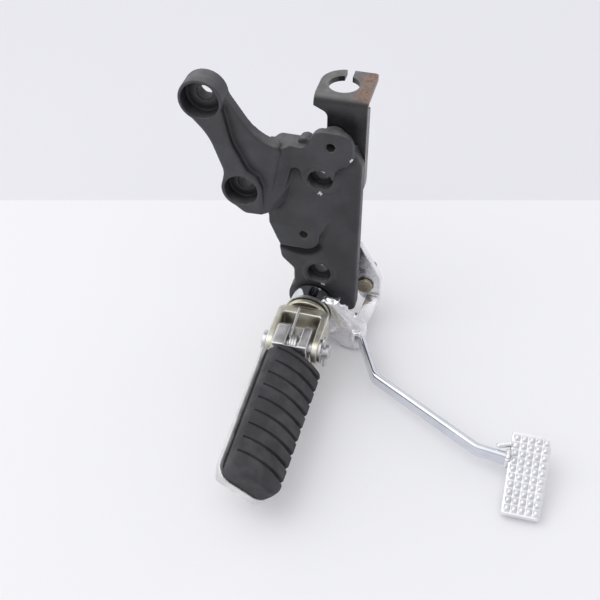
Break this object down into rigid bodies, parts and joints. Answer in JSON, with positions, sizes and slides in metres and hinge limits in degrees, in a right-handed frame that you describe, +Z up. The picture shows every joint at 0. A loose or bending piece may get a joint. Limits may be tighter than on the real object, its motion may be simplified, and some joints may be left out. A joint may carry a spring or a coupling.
{
  "type": "footrest bracket",
  "caption": "Motorbike footrest bracket: a black cast bracket carrying a folding rubber-topped footrest in a clevis, a chromed brake pedal on the same pivot, and a bolted guide tab.",
  "frame": {"origin": "centre of the upper frame bolt hole, on the machined face that meets the frame", "axes": "+X forward along the bike, +Y inboard along the frame bolts, +Z up in the pose of the picture, where the bracket stands turned back by about 40 degrees from its place on the bike"},
  "size_m": [0.2173, 0.1837, 0.1694],
  "materials": {
    "black_paint": "satin black paint on a casting",
    "black_sheet": "gloss black paint on pressed sheet, rusty at the edge",
    "yellow_zinc": "pale yellow zinc plate",
    "bare_steel": "plain zinc plate",
    "spring_steel": "dark spring wire",
    "cast_aluminium": "satin",
    "tread_rubber": "matt dark grey rubber",
    "seal_rubber": "black rubber",
    "chrome": "bright chrome plate",
    "bush_bronze": "sintered bronze"
  },
  "bodies": {
    "bracket": {"bracket_casting": "black_paint", "guide_tab": "black_sheet", "tab_bolts": "bare_steel", "footrest_clevis": "yellow_zinc", "dust_seal": "seal_rubber", "thrust_washers": "yellow_zinc", "stud_washer": "bare_steel", "stud_nut": "bare_steel", "clevis_pin": "yellow_zinc", "pin_washer": "yellow_zinc", "split_pin": "bare_steel", "footrest_spring": "spring_steel"},
    "footrest": {"footrest_body": "cast_aluminium", "footrest_rubber": "tread_rubber", "rubber_screws": "bare_steel"},
    "pedal": {"pedal_tube": "chrome", "pedal_bushes": "bush_bronze", "pedal_root": "chrome", "pedal_arm": "chrome", "foot_pad": "chrome", "rear_lever": "chrome", "lever_pin": "yellow_zinc"}
  },
  "joints": [
    {"name": "footrest_fold", "type": "hinge", "parent": "bracket", "child": "footrest", "pos_m": [0.0575, -0.045, -0.131], "axis": [-1, 0, 0], "range_deg": [0, 80], "stiffness_Nm_per_rad": 0.2, "springref_deg": -34.38, "deforming": ["footrest_spring"]},
    {"name": "pedal_swing", "type": "hinge", "parent": "bracket", "child": "pedal", "pos_m": [0.0575, -0.0062, -0.1352], "axis": [0, -1, 0], "range_deg": [0, 20]}
  ]
}
